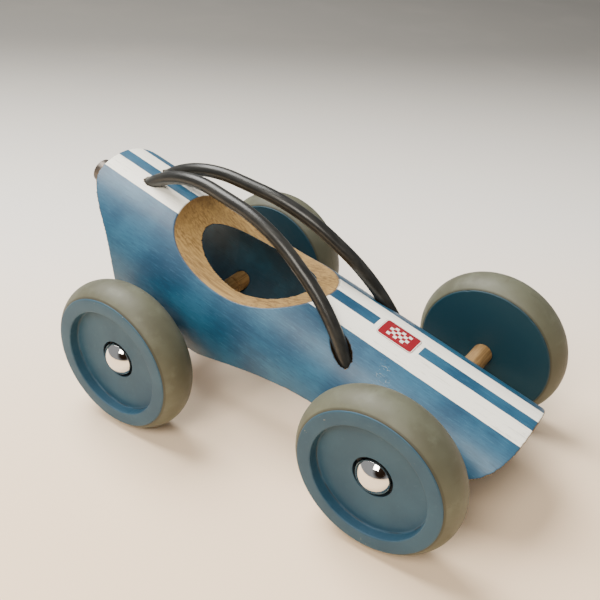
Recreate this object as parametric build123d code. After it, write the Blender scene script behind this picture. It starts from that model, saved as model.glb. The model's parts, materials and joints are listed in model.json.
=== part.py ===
from build123d import *
import os
from math import atan, cos, degrees, radians, sin, sqrt, tan

# Push-along bamboo racing car, in millimetres.
# X points from the tail to the nose, Y to the car's left, Z up. The car stands on Z = 0.
# Heights and lengths along the body are given from the rear axle; "side" is +1 left, -1 right.

# Overall layout
wheelbase = 127.5
wheel_diameter = 72.0
wheel_width = 19.0
front_track = 105.6
rear_track = 118.2

# Body: one length of bamboo culm, tilted nose down and sawn to shape
body_diameter = 70.6
body_wall = 6.3
body_tail_wall = 9.2
body_wall_swell_start = 27.0
body_wall_swell_end = -4.0
body_axis_above_axle = 13.7
body_axis_drop = 32.74
nose_overhang = 41.1
tail_overhang = 54.6
underside_below_axle = 7.6
nose_undercut_radius = 19.8
arch_end_from_axle = 17.75
arch_rise = 7.9
tail_foot_behind_axle = 29.9
tail_sweep_angle = 42.0
tail_sweep_radius = 40.5
tail_corner_radius = 9.0
tail_corner_drop = 2.0

# Cockpit: a scoop sawn straight across the culm. Its handles are shares of its two runs and of its
# drop: out of the rear lip, down from it, back along the floor, then the same for the front ramp.
scoop_rear_lip = 9.2
scoop_front_lip_behind_axle = 56.4
scoop_floor_share = 0.619
scoop_depth = 13.05
scoop_steepness = 0.62
scoop_wall_out = 0.16
scoop_wall_down = 0.56
scoop_wall_floor = 0.55
scoop_ramp_floor = 0.40
scoop_ramp_back = 0.38
scoop_ramp_down = 0.082
scoop_clear_ahead = 0.30
scoop_clear_up = 0.09
scoop_clear_behind = 5.0

# Rods: two bent bars that run from the deck over the cockpit into the flanks of the hood
rod_diameter = 6.2
rod_deck_ahead_of_tail = 23.8
rod_deck_offset = 6.0
rod_flank_behind_axle = 38.5
rod_flank_offset = 20.2
rod_seat_depth = 1.5
rod_lean = 8.0
rod_entry_angle = 50.5
rod_exit_angle = 39.4
rod_tail_depth = 10.3
rod_nose_depth = 9.7
rod_flank_clearance = 0.75
rod_hole_run_out = 2.3

# Each rod's three bends, as shares of its span: how far along, how high above it, how wide a bend
rod_bends = ((0.115, 0.1403, 0.444), (0.554, 0.2006, 0.690), (0.882, 0.0975, 0.698))

# Tail pipe and the block that holds it under the deck
pipe_diameter = 12.0
pipe_bore = 7.4
pipe_bore_depth = 9.0
pipe_edge_round = 0.8
pipe_length = 36.0
pipe_overhang = 18.0
pipe_drop = 18.1
block_front_ahead_of_tail = 27.6
block_width = 34.0
block_below_pipe = 4.0

# Axles, wooden sleeves and hub caps
axle_diameter = 4.0
sleeve_diameter = 9.4
sleeve_clearance = 0.1
sleeve_gap = 1.8
sleeve_gap_offset = 17.1
cap_diameter = 15.4
cap_height = 7.0
cap_skirt = 2.9
cap_crown = 1.1

# Wheels: a turned wooden disc with a rubber tyre in its groove
tyre_crown = 4.4
tyre_edge_step = 0.25
tyre_side_step = 0.5
groove_depth = 3.2
groove_wall = 3.2
disc_edge_round = 0.7
disc_rim_width = 6.4
dish_depth = 4.7
dish_cove_radius = 0.9
dish_lip_round = 0.6
hub_pocket_gap = 1.1
hub_pocket_depth = 3.2
wheel_bore_clearance = 0.08
wheel_end_float = 0.35
cap_end_float = 0.3

# Label on the hood
label_length = 18.0
label_width = 11.6
label_thickness = 0.2
label_behind_axle = 32.84
label_corner_radius = 1.6

# Worked out from the sizes above
wheel_radius = wheel_diameter/2
disc_radius = wheel_radius-tyre_crown
dish_radius = disc_radius-disc_rim_width
groove_radius = disc_radius-groove_depth
groove_half = wheel_width/2-groove_wall
tyre_half = wheel_width/2-tyre_side_step
body_radius = body_diameter/2
bore_radius = body_radius-body_wall
tail_bore_radius = body_radius-body_tail_wall
body_axis_height = wheel_radius+body_axis_above_axle
underside_height = wheel_radius-underside_below_axle
tilt = atan(body_axis_drop/wheelbase)
tilt_cos = cos(tilt)
pipe_end = -(tail_overhang+pipe_overhang)
nose_tip = wheelbase+nose_overhang
middle = (pipe_end+nose_tip)/2
WIDE = 4*body_diameter
CULM_STOCK = 4*(nose_tip-pipe_end)
OVERCUT = 1.0
BORE_SEAM = 90.0
CULM_AHEAD = Vector(tilt_cos, 0, -sin(tilt))
CULM_UP = Vector(sin(tilt), 0, tilt_cos)
STANDING = (Align.CENTER, Align.CENTER, Align.MIN)
AXLES = {"front": (wheelbase, front_track), "rear": (0.0, rear_track)}
SIDES = {"left": 1, "right": -1}


def axis_height(station):
    """Height of the culm's axis at a distance ahead of the rear axle."""
    return body_axis_height-station*tan(tilt)


def skin_height(station, offset, radius=body_radius):
    """Height of the culm's upper skin at a station, and at an offset from its middle."""
    return axis_height(station)+sqrt(radius**2-offset**2)/tilt_cos


def side_cut(face):
    """A side outline carried right across the car."""
    return extrude(face, amount=WIDE/2, both=True)


def culm(radius):
    """A round bar on the culm's tilted axis."""
    bar = Rot(0, 90, 0)*Cylinder(radius, CULM_STOCK)
    return Pos(0, 0, body_axis_height)*Rot(0, degrees(tilt), 0)*bar


def bore():
    """The culm's bore, narrower behind the thick ring of wood at its node, as a solid."""
    ahead = CULM_STOCK/2
    with BuildSketch(Plane.XZ) as profile:
        Polygon((-ahead, 0), (-ahead, tail_bore_radius), (body_wall_swell_end, tail_bore_radius),
                (body_wall_swell_start, bore_radius), (ahead, bore_radius), (ahead, 0), align=None)
    turned_profile = Rot(BORE_SEAM, 0, 0)*revolve(profile.sketch, axis=Axis.X)
    return Pos(0, 0, body_axis_height)*Rot(0, degrees(tilt), 0)*turned_profile


def side_outline():
    """The body seen from its side: swept tail, flat feet, arch between the wheels, undercut nose."""
    swept_by = radians(tail_sweep_angle)
    foot = -tail_foot_behind_axle
    top = 2*body_diameter
    rear = -tail_overhang
    turn_in = tail_sweep_radius*(1-cos(swept_by))
    turn_out = tail_corner_radius*(1-cos(swept_by))
    run = (foot-turn_in)-(rear+turn_out)
    corner_height = skin_height(rear, 0)-tail_corner_drop
    straight_top = corner_height-tail_corner_radius*sin(swept_by)
    straight_end = straight_top-run/tan(swept_by)
    arch_rear = arch_end_from_axle
    arch_front = wheelbase-arch_end_from_axle
    nose_middle = underside_height+nose_undercut_radius
    nose_lift = max(nose_middle-skin_height(nose_tip, 0), 0)
    nose_bottom = nose_tip-sqrt(nose_undercut_radius**2-nose_lift**2)
    nose_front = nose_bottom+nose_undercut_radius
    with BuildSketch(Plane.XZ) as side:
        with BuildLine():
            Polyline((nose_front, nose_middle), (nose_front, top), (rear, top), (rear, corner_height))
            corner = TangentArc((rear, corner_height), (rear+turn_out, straight_top), tangent=(0, -1))
            line = Line(corner@1, (foot-turn_in, straight_end))
            swept = TangentArc(line@1, (foot, straight_end-tail_sweep_radius*sin(swept_by)), tangent=line%1)
            Polyline(swept@1, (foot, underside_height), (arch_rear, underside_height))
            ThreePointArc((arch_rear, underside_height), (wheelbase/2, underside_height+arch_rise),
                          (arch_front, underside_height))
            Line((arch_front, underside_height), (nose_bottom, underside_height))
            TangentArc((nose_bottom, underside_height), (nose_front, nose_middle), tangent=(1, 0))
        make_face()
    return side.sketch


def scoop_outline():
    """The cockpit scoop seen from the side: steep behind, long and shallow in front."""
    rear_x = -scoop_rear_lip
    front_x = wheelbase-scoop_front_lip_behind_axle
    floor_x = rear_x+scoop_floor_share*(front_x-rear_x)
    rear_z = skin_height(rear_x, 0)
    front_z = skin_height(front_x, 0)
    floor_z = skin_height(floor_x, 0)-scoop_depth
    behind = scoop_steepness*(floor_x-rear_x)
    ahead = front_x-floor_x
    top = 2*body_diameter
    clear = (front_x+scoop_clear_ahead*ahead, front_z+scoop_clear_up*ahead)
    with BuildSketch(Plane.XZ) as scoop:
        with BuildLine():
            wall = Bezier((rear_x, rear_z),
                          (rear_x+scoop_wall_out*behind, rear_z-scoop_wall_down*(rear_z-floor_z)),
                          (floor_x-scoop_wall_floor*behind, floor_z), (floor_x, floor_z))
            ramp = Bezier((floor_x, floor_z), (floor_x+scoop_ramp_floor*ahead, floor_z),
                          (front_x-scoop_ramp_back*ahead, front_z-scoop_ramp_down*ahead),
                          (front_x, front_z))
            Polyline(ramp@1, clear, (clear[0], top), (rear_x-scoop_clear_behind, top), wall@0)
        make_face()
    return scoop.sketch


def rod_seat(station, side, offset):
    """The point where a rod's centre line ends its span, a little under the skin."""
    return Vector(station, side*offset, skin_height(station, offset)-rod_seat_depth)


def rod_frame(side):
    """Where a rod's span starts, the two directions of the leaning plane it is bent in, its length."""
    deck = rod_seat(rod_deck_ahead_of_tail-tail_overhang, side, rod_deck_offset)
    flank = rod_seat(wheelbase-rod_flank_behind_axle, side, rod_flank_offset)
    along = (flank-deck).normalized()
    upright = (Vector(0, 0, 1)-along*along.Z).normalized()
    middle_side = Vector(0, -side, 0)
    inward = (middle_side-along*middle_side.dot(along)-upright*middle_side.dot(upright)).normalized()
    lean = radians(rod_lean)
    return deck, along, upright*cos(lean)+inward*sin(lean), (flank-deck).length


def rod_ends():
    """Unit steps into the body at the deck and at the flank, in the rod's own plane."""
    entry = radians(rod_entry_angle)
    leave = radians(rod_exit_angle)
    return (-cos(entry), -sin(entry)), (cos(leave), -sin(leave))


def rod_path(side):
    """The rod's centre line: straight runs joined by its three bends."""
    deck, along, rise, span = rod_frame(side)
    tail, nose = rod_ends()
    corners = [(tail[0]*rod_tail_depth, tail[1]*rod_tail_depth)]
    corners += [(share*span, height*span) for share, height, _ in rod_bends]
    corners += [(span+nose[0]*rod_nose_depth, nose[1]*rod_nose_depth)]
    points = [deck+along*u+rise*v for u, v in corners]
    return FilletPolyline(*points, radius=[radius*span for _, _, radius in rod_bends])


def make_rod(side):
    """One bent rod."""
    path = rod_path(side)
    return sweep(Plane(path@0, z_dir=path%0)*Circle(rod_diameter/2), path=path)


def flank_hole(side):
    """The slanting hole in the hood's flank, drilled along the rod's last run."""
    path = rod_path(side)
    reach = 3*rod_nose_depth
    start = path@1-(path%1)*(reach-rod_hole_run_out)
    return Plane(start, z_dir=path%1)*Cylinder(rod_diameter/2+rod_flank_clearance, reach, align=STANDING)


def across(radius, start, end, station, height):
    """A round bar across the car between two offsets."""
    bar = Rot(-90, 0, 0)*Cylinder(radius, end-start, align=STANDING)
    return Pos(station, start, height)*bar


def make_body():
    """The bamboo shell with its cockpit and all its holes."""
    shell = (culm(body_radius)-bore()) & side_cut(side_outline())
    shell -= side_cut(scoop_outline())
    for station, _ in AXLES.values():
        shell -= across(sleeve_diameter/2, -body_diameter, body_diameter, station, wheel_radius)
    for side in SIDES.values():
        shell -= make_rod(side)
        shell -= flank_hole(side)
    return largest(shell)


def largest(shape):
    """The biggest solid of a cut shape."""
    return max(shape.solids(), key=lambda solid: solid.volume)


def along_culm(distance, rise):
    """The point at a distance along the culm's axis and a rise square to it."""
    return Vector(0, 0, body_axis_height)+CULM_AHEAD*distance+CULM_UP*rise


def pipe_seat():
    """The tail pipe's frame: its rear end, with its axis pointing forwards along the culm."""
    rise = body_radius-pipe_drop
    lower_edge = (pipe_diameter/2-pipe_edge_round)*CULM_UP.X+pipe_edge_round*(1-tilt_cos)
    distance = (pipe_end+lower_edge-rise*CULM_UP.X)/tilt_cos
    return Plane(along_culm(distance, rise), z_dir=CULM_AHEAD, x_dir=(0, 1, 0))


def make_pipe():
    """The tail pipe: a round peg with a blind bore in its rear end."""
    peg = Cylinder(pipe_diameter/2, pipe_length, align=STANDING)
    peg = fillet(peg.edges().filter_by(GeomType.CIRCLE), pipe_edge_round)
    peg -= Cylinder(pipe_bore/2, pipe_bore_depth, align=STANDING)
    return pipe_seat()*peg


def make_block():
    """The wooden block glued under the deck and sawn with it, bored for the pipe and the rods."""
    cut = body_radius-pipe_drop-pipe_diameter/2-block_below_pipe
    front = along_culm((block_front_ahead_of_tail-tail_overhang)/tilt_cos, cut)
    blank = Plane(front, x_dir=(0, 1, 0), z_dir=CULM_UP)
    blank = blank*Box(block_width, body_diameter, body_radius, align=(Align.CENTER, Align.MIN, Align.MIN))
    block = blank & bore() & side_cut(side_outline())
    for side in SIDES.values():
        block -= make_rod(side)
    return largest(block-pipe_seat()*Cylinder(pipe_diameter/2, pipe_length, align=STANDING))


def wheel_faces(track):
    """Offsets of a left wheel's inner and outer faces."""
    return track/2-wheel_width/2, track/2+wheel_width/2


def turned(outline, station, offset, side):
    """A piece turned about an axle; its outline is radius by distance outwards from mid-wheel."""
    piece = revolve(outline, axis=Axis.Y)
    if side < 0:
        piece = mirror(piece, about=Plane.XZ)
    return Pos(station, side*offset, wheel_radius)*piece


def turning(points):
    """A closed outline of straight runs in the plane that holds the axle."""
    return make_face(Plane.XY*Polyline(*points, close=True))


def round_at(outline, spots, radius):
    """Round the corners of an outline that lie at the given spots."""
    corners = [min(outline.vertices(), key=lambda v: (v.X-x)**2+(v.Y-y)**2) for x, y in spots]
    return fillet(corners, radius)


def make_disc(station, track, side):
    """The wheel disc: dished outer face, hub pocket, bore and a groove for the tyre."""
    bore = axle_diameter/2+wheel_bore_clearance
    pocket = cap_diameter/2+hub_pocket_gap
    out = wheel_width/2
    floor = out-dish_depth
    base = floor-hub_pocket_depth
    outline = turning([(bore, -out), (disc_radius, -out), (disc_radius, -groove_half),
                       (groove_radius, -groove_half), (groove_radius, groove_half),
                       (disc_radius, groove_half), (disc_radius, out), (dish_radius, out),
                       (dish_radius, floor), (pocket, floor), (pocket, base), (bore, base)])
    outline = round_at(outline, [(disc_radius, -out), (disc_radius, out)], disc_edge_round)
    outline = round_at(outline, [(dish_radius, out)], dish_lip_round)
    outline = round_at(outline, [(dish_radius, floor)], dish_cove_radius)
    return turned(outline, station, track/2, side)


def make_tyre(station, track, side):
    """The rubber tyre: a barrel tread on a narrower root that fills the disc's groove."""
    shoulder = disc_radius+tyre_edge_step
    with BuildSketch(Plane.XY) as section:
        with BuildLine():
            ThreePointArc((shoulder, -tyre_half), (wheel_radius, 0), (shoulder, tyre_half))
            Polyline((shoulder, tyre_half), (disc_radius, tyre_half), (disc_radius, groove_half),
                     (groove_radius, groove_half), (groove_radius, -groove_half),
                     (disc_radius, -groove_half), (disc_radius, -tyre_half), (shoulder, -tyre_half))
        make_face()
    return turned(section.sketch, station, track/2, side)


def cap_seat(track):
    """Offset of a left hub cap's open end."""
    floor = track/2+wheel_width/2-dish_depth-hub_pocket_depth
    return floor+cap_end_float


def make_cap(station, track, side):
    """A domed push-on cap with a short straight skirt and a flat back."""
    radius = cap_diameter/2
    dome = cap_height-cap_skirt
    shaft = axle_diameter/2
    socket = cap_height-cap_crown
    ball = (radius**2+dome**2)/(2*dome)
    with BuildSketch(Plane.XY) as section:
        with BuildLine():
            Polyline((0, cap_height), (0, socket), (shaft, socket), (shaft, 0), (radius, 0),
                     (radius, cap_skirt))
            RadiusArc((radius, cap_skirt), (0, cap_height), -ball)
        make_face()
    return turned(section.sketch, station, cap_seat(track), side)


def make_axle(station, track):
    """A steel axle that ends inside its two caps."""
    end = cap_seat(track)+cap_height-cap_crown
    return across(axle_diameter/2, -end, end, station, wheel_radius)


def make_sleeve(station, track, side):
    """A wooden sleeve from beside a wheel, through the body's wall, to the gap inside it."""
    outer = wheel_faces(track)[0]-wheel_end_float
    gap = sleeve_gap_offset+side*sleeve_gap/2
    start, end = sorted((side*outer, gap))
    tube = across(sleeve_diameter/2, start, end, station, wheel_radius)
    bore = axle_diameter/2+sleeve_clearance
    return tube-across(bore, start-OVERCUT, end+OVERCUT, station, wheel_radius)


def make_label():
    """The thin label that lies on the crown of the hood."""
    sheet = extrude(RectangleRounded(label_length, label_width, label_corner_radius), amount=body_diameter)
    station = wheelbase/tilt_cos-label_behind_axle
    stamp = Plane(along_culm(station, 0), x_dir=CULM_AHEAD, z_dir=CULM_UP)*sheet
    return (culm(body_radius+label_thickness)-culm(body_radius)) & stamp


def build():
    """All the car's pieces by name."""
    pieces = {"body_shell": make_body(), "hood_label": make_label(), "tail_pipe": make_pipe(),
              "tail_pipe_block": make_block()}
    for hand, side in SIDES.items():
        pieces[f"rod_{hand}"] = make_rod(side)
    for place, (station, track) in AXLES.items():
        pieces[f"axle_{place}"] = make_axle(station, track)
        for hand, side in SIDES.items():
            name = f"{place}_{hand}"
            pieces[f"axle_sleeve_{name}"] = make_sleeve(station, track, side)
            pieces[f"wheel_disc_{name}"] = make_disc(station, track, side)
            pieces[f"tyre_{name}"] = make_tyre(station, track, side)
            pieces[f"hub_cap_{name}"] = make_cap(station, track, side)
    return pieces


os.makedirs("parts", exist_ok=True)
for node, piece in build().items():
    export_step(Pos(-middle, 0, 0)*piece, f"parts/{node}.step")
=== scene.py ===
"""Looks for a push-along bamboo racing car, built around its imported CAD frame, in metres."""

import json
import logging
from dataclasses import dataclass
from enum import Enum
from math import asin, cos, pi, radians, sin, sqrt, tan
from typing import Callable, Sequence

import bmesh
import bpy
import numpy as np
from mathutils import Matrix, Vector, noise


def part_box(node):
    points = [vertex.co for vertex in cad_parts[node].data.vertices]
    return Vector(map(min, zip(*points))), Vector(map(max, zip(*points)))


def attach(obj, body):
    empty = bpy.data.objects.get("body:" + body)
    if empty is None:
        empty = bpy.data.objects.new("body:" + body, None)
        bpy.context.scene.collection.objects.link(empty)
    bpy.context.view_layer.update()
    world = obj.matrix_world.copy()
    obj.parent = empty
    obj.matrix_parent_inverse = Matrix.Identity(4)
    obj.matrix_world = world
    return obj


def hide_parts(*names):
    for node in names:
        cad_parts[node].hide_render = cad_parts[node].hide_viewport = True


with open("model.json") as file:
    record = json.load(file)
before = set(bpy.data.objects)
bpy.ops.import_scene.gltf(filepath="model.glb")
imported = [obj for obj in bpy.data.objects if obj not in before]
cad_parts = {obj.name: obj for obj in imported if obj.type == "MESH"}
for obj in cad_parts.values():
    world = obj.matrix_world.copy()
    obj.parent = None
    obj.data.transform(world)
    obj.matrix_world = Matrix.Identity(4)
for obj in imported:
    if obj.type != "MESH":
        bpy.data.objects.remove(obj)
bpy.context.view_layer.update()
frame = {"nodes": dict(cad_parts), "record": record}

log = logging.getLogger("racer")
MM = 0.001
Point = tuple[float, float]
Colour = tuple[float, float, float]


class Side(Enum):
    """Which side of the car a piece is on, by the sign of its Y."""

    LEFT = 1
    RIGHT = -1

    @property
    def word(self) -> str:
        """The side's name in node names."""
        return self.name.lower()


class Place(Enum):
    """Which axle a piece is on."""

    FRONT = "front"
    REAR = "rear"


def srgb(red: int, green: int, blue: int) -> Colour:
    """Turn an 8-bit screen colour into the linear numbers that shaders use.

    Args:
        red: Red, 0 to 255.
        green: Green, 0 to 255.
        blue: Blue, 0 to 255.

    Returns:
        The linear colour.
    """
    def linear(value: int) -> float:
        """Turn one channel into its linear number."""
        share = value/255
        return share/12.92 if share <= 0.04045 else ((share+0.055)/1.055)**2.4
    return linear(red), linear(green), linear(blue)


class Graph:
    """Writes the nodes of one procedural material."""

    def __init__(self, name: str, shift: Sequence[float] = (0.0, 0.0, 0.0)) -> None:
        """Start an empty material.

        Args:
            name: The material's name.
            shift: How far the noises are moved, so that like pieces differ.
        """
        self.material = bpy.data.materials.new(name)
        self.material.use_nodes = True
        self.tree = self.material.node_tree
        self.tree.nodes.clear()
        self.output = self.tree.nodes.new("ShaderNodeOutputMaterial")
        self.shader = self.tree.nodes.new("ShaderNodeBsdfPrincipled")
        self.tree.links.new(self.shader.outputs[0], self.output.inputs[0])
        self.coords = self.tree.nodes.new("ShaderNodeTexCoord").outputs["Object"]
        self.grain = self.stretch(self.coords, (1, 1, 1), shift=shift) if any(shift) else self.coords

    def plug(self, socket: bpy.types.NodeSocket, value: object) -> None:
        """Link a socket, or set its value.

        Args:
            socket: The input socket.
            value: An output socket to link, a number, a colour or a vector.
        """
        if isinstance(value, bpy.types.NodeSocket):
            self.tree.links.new(value, socket)
        elif isinstance(value, (tuple, list)) and len(value) == 3 and socket.type == "RGBA":
            socket.default_value = (*value, 1.0)
        else:
            socket.default_value = value

    def surface(self, **values: object) -> None:
        """Set the main shader's inputs.

        Args:
            **values: Input names, with underscores for spaces, and what goes in.
        """
        for key, value in values.items():
            self.plug(self.shader.inputs[key.replace("_", " ")], value)

    def math(self, operation: str, *values: object, clamp: bool = False) -> bpy.types.NodeSocket:
        """Add a Math node.

        Args:
            operation: Blender's name for the operation.
            *values: One to three inputs.
            clamp: Whether the result is kept between 0 and 1.

        Returns:
            The result.
        """
        node = self.tree.nodes.new("ShaderNodeMath")
        node.operation = operation
        node.use_clamp = clamp
        for socket, value in zip(node.inputs, values):
            self.plug(socket, value)
        return node.outputs[0]

    def times(self, first: object, second: object) -> bpy.types.NodeSocket:
        """Multiply two numbers."""
        return self.math("MULTIPLY", first, second)

    def plus(self, first: object, second: object) -> bpy.types.NodeSocket:
        """Add two numbers."""
        return self.math("ADD", first, second)

    def less(self, first: object, second: object) -> bpy.types.NodeSocket:
        """Take the second number from the first."""
        return self.math("SUBTRACT", first, second)

    def size(self, value: object) -> bpy.types.NodeSocket:
        """Give a number without its sign."""
        return self.math("ABSOLUTE", value)

    def scaled(self, value: object, factor: object, start: object) -> bpy.types.NodeSocket:
        """Multiply a number by a factor and add the start."""
        return self.math("MULTIPLY_ADD", value, factor, start)

    def reach(self, first: object, second: object) -> bpy.types.NodeSocket:
        """Length of the line whose two parts, square to each other, are given."""
        return self.math("SQRT", self.plus(self.times(first, first), self.times(second, second)))

    def facing(self) -> bpy.types.NodeSocket:
        """Give the direction that the surface faces."""
        return self.tree.nodes.new("ShaderNodeNewGeometry").outputs["Normal"]

    def dot(self, vector: bpy.types.NodeSocket, axis: Sequence[float]) -> bpy.types.NodeSocket:
        """Measure a vector along an axis.

        Args:
            vector: The vector.
            axis: The axis.

        Returns:
            Its length along the axis.
        """
        node = self.tree.nodes.new("ShaderNodeVectorMath")
        node.operation = "DOT_PRODUCT"
        self.plug(node.inputs[0], vector)
        self.plug(node.inputs[1], tuple(axis))
        return node.outputs["Value"]

    def stretch(self, vector: bpy.types.NodeSocket, scale: Sequence[float], turn: Sequence[float] = (0, 0, 0),
                shift: Sequence[float] = (0, 0, 0)) -> bpy.types.NodeSocket:
        """Scale, turn and shift texture coordinates.

        Args:
            vector: The coordinates.
            scale: Factor along each axis, applied after the turn.
            turn: Turn about each axis, in radians.
            shift: Shift, in the turned axes.

        Returns:
            The new coordinates.
        """
        first = self.tree.nodes.new("ShaderNodeMapping")
        self.plug(first.inputs["Vector"], vector)
        first.inputs["Rotation"].default_value = turn
        first.inputs["Location"].default_value = shift
        second = self.tree.nodes.new("ShaderNodeMapping")
        self.plug(second.inputs["Vector"], first.outputs[0])
        second.inputs["Scale"].default_value = scale
        return second.outputs[0]

    def parts(self, vector: bpy.types.NodeSocket) -> list[bpy.types.NodeSocket]:
        """Split a vector into its three numbers.

        Args:
            vector: The vector.

        Returns:
            Its X, Y and Z.
        """
        node = self.tree.nodes.new("ShaderNodeSeparateXYZ")
        self.plug(node.inputs[0], vector)
        return list(node.outputs)

    def noise(self, scale: float, detail: float = 3.0, rough: float = 0.55, vector: object = None,
              warp: float = 0.0) -> bpy.types.NodeSocket:
        """Add a noise texture.

        Args:
            scale: Features per metre of the coordinates.
            detail: Octaves.
            rough: How strong the finer octaves are.
            vector: Coordinates, or None for the object's own.
            warp: Distortion.

        Returns:
            The noise, 0 to 1.
        """
        node = self.tree.nodes.new("ShaderNodeTexNoise")
        self.plug(node.inputs["Vector"], self.grain if vector is None else vector)
        for key, value in (("Scale", scale), ("Detail", detail), ("Roughness", rough), ("Distortion", warp)):
            node.inputs[key].default_value = value
        return node.outputs["Fac"]

    def cells(self, scale: float, vector: object = None, spread: float = 1.0) -> bpy.types.NodeSocket:
        """Add a Voronoi texture and give the distance to the nearest point.

        Args:
            scale: Points per metre of the coordinates.
            vector: Coordinates, or None for the object's own.
            spread: How uneven the points are, 0 to 1.

        Returns:
            The distance.
        """
        node = self.tree.nodes.new("ShaderNodeTexVoronoi")
        self.plug(node.inputs["Vector"], self.grain if vector is None else vector)
        node.inputs["Scale"].default_value = scale
        node.inputs["Randomness"].default_value = spread
        return node.outputs["Distance"]

    def step(self, value: object, low: float, high: float, smooth: bool = True) -> bpy.types.NodeSocket:
        """Turn a number into a mask that runs from 0 at low to 1 at high.

        Args:
            value: The number.
            low: Where the mask is 0.
            high: Where the mask is 1.
            smooth: Whether the ends are eased.

        Returns:
            The mask.
        """
        node = self.tree.nodes.new("ShaderNodeMapRange")
        node.interpolation_type = "SMOOTHSTEP" if smooth else "LINEAR"
        self.plug(node.inputs["Value"], value)
        flip = low > high
        node.inputs["From Min"].default_value = high if flip else low
        node.inputs["From Max"].default_value = low if flip else high
        node.inputs["To Min"].default_value = 1.0 if flip else 0.0
        node.inputs["To Max"].default_value = 0.0 if flip else 1.0
        return node.outputs[0]

    def band(self, value: object, low: float, high: float, soft: float) -> bpy.types.NodeSocket:
        """Make a mask that is 1 between two values, with soft edges."""
        return self.times(self.step(value, low-soft, low+soft), self.step(value, high+soft, high-soft))

    def mix(self, share: object, first: object, second: object, blend: str = "MIX") -> bpy.types.NodeSocket:
        """Mix two colours.

        Args:
            share: How much of the second colour.
            first: A colour or a socket.
            second: A colour or a socket.
            blend: Blender's name for the way of mixing.

        Returns:
            The mixed colour.
        """
        node = self.tree.nodes.new("ShaderNodeMix")
        node.data_type = "RGBA"
        node.blend_type = blend
        self.plug(node.inputs[0], share)
        self.plug(node.inputs[6], first)
        self.plug(node.inputs[7], second)
        return node.outputs[2]

    def bump(self, height: object, depth: float, strength: float = 1.0) -> bpy.types.NodeSocket:
        """Turn a height into a normal.

        Args:
            height: The height, 0 to 1.
            depth: The full height, in metres.
            strength: How much of it shows.

        Returns:
            The normal.
        """
        node = self.tree.nodes.new("ShaderNodeBump")
        node.inputs["Distance"].default_value = depth
        node.inputs["Strength"].default_value = strength
        self.plug(node.inputs["Height"], height)
        return node.outputs[0]


@dataclass(frozen=True)
class Culm:
    """Where the bamboo culm lies: its axis, tilt and radii, in metres."""

    tilt: float = radians(14.4)
    radius: float = 35.3*MM
    bore: float = 29.0*MM
    tail_bore: float = 26.1*MM
    bore_full: float = 27.0*MM
    bore_tight: float = -4.0*MM
    axis_height: float = 49.7*MM
    rear_axle: float = -48.0*MM
    stripe_inner: float = 3.15*MM
    stripe_outer: float = 13.05*MM

    @property
    def ahead(self) -> Vector:
        """The culm's axis, towards the nose."""
        return Vector((cos(self.tilt), 0, -sin(self.tilt)))

    @property
    def up(self) -> Vector:
        """Square to the axis, in the car's middle plane."""
        return Vector((sin(self.tilt), 0, cos(self.tilt)))

    @property
    def origin(self) -> Vector:
        """The point of the axis above the rear axle."""
        return Vector((self.rear_axle, 0, self.axis_height))

    def at(self, along: float, arc: float, radius: float) -> Vector:
        """Give the point at a distance along the culm, an arc length round it and a radius."""
        turn = arc/self.radius
        return self.origin+self.ahead*along+(self.up*cos(turn)+Vector((0, sin(turn), 0)))*radius

    def along(self, graph: Graph) -> bpy.types.NodeSocket:
        """Distance along the culm in a shader."""
        return graph.less(graph.dot(graph.coords, self.ahead), self.origin.dot(self.ahead))

    def rise(self, graph: Graph) -> bpy.types.NodeSocket:
        """Height square to the culm's axis in a shader."""
        return graph.less(graph.dot(graph.coords, self.up), self.origin.dot(self.up))

    def arc(self, graph: Graph) -> bpy.types.NodeSocket:
        """Distance round the skin from the crown in a shader, positive to the left."""
        turn = graph.math("ARCTAN2", graph.parts(graph.coords)[1], self.rise(graph))
        return graph.times(turn, self.radius)

    def skin_height(self, ahead: float, offset: float) -> float:
        """Height of the upper skin at a distance ahead of the rear axle and an offset from the middle."""
        lift = sqrt(self.radius**2-offset**2)/cos(self.tilt)
        return self.axis_height-ahead*tan(self.tilt)+lift

    def bore_radii(self, along: np.ndarray) -> np.ndarray:
        """Radius of the bore at distances along the culm: it narrows to the thick ring at the node."""
        return np.interp(along, (self.bore_tight, self.bore_full), (self.tail_bore, self.bore))

    def bore_radius(self, graph: Graph) -> bpy.types.NodeSocket:
        """Radius of the bore in a shader."""
        narrow = graph.step(self.along(graph), self.bore_full, self.bore_tight, smooth=False)
        return graph.scaled(narrow, self.tail_bore-self.bore, self.bore)

    def fibres(self, graph: Graph, lengthwise: float) -> bpy.types.NodeSocket:
        """Texture coordinates along the culm's fibres, drawn out lengthwise by a factor."""
        return graph.stretch(graph.coords, (lengthwise, 1, 1), turn=(0, -self.tilt, 0))


CULM = Culm()


MADE: dict["Finish", bpy.types.Material] = {}


class Finish:
    """What every finish can do: give its material, made once."""

    def build(self) -> bpy.types.Material:
        """Make the material."""
        raise NotImplementedError

    def material(self) -> bpy.types.Material:
        """Give the material, and make it the first time it is asked for.

        Returns:
            The material.
        """
        if self not in MADE:
            MADE[self] = self.build()
        return MADE[self]

    def dress(self, obj: bpy.types.Object) -> None:
        """Put the finish on a whole object.

        Args:
            obj: The object.
        """
        obj.data.materials.clear()
        obj.data.materials.append(self.material())


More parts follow.
